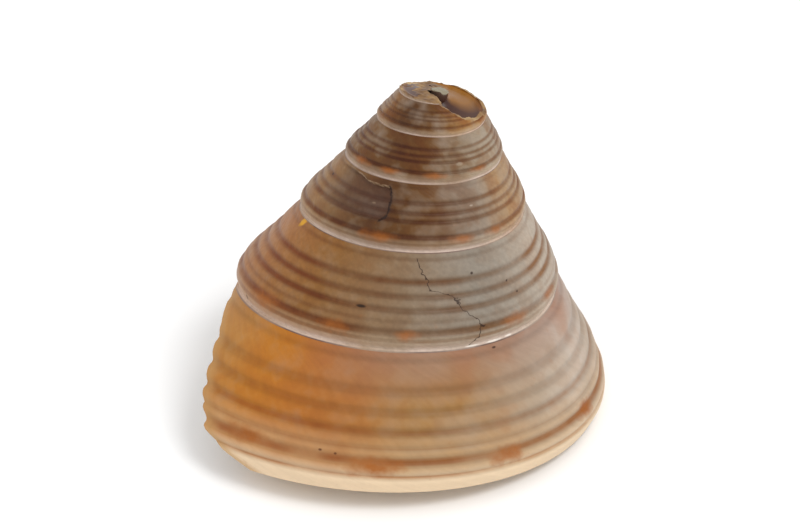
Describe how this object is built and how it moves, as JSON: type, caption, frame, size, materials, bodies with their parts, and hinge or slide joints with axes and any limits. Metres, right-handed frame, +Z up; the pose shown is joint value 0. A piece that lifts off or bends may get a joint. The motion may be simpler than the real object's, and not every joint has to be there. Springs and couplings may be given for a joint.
{
  "type": "top shell",
  "caption": "Conical top shell with spiral cords, standing on its base with the tip broken off and the aperture open underneath.",
  "frame": {"origin": "middle of the shell's footprint, on the surface that it stands on", "axes": "+Z up from the surface; -Y towards the side that the picture shows; the outer lip is at -X"},
  "size_m": [0.0264, 0.0272, 0.0208],
  "materials": {
    "shell": "satin, worn tan and lilac-grey shell with orange-brown blotches"
  },
  "bodies": {
    "root": {"shell": "shell"}
  },
  "joints": []
}
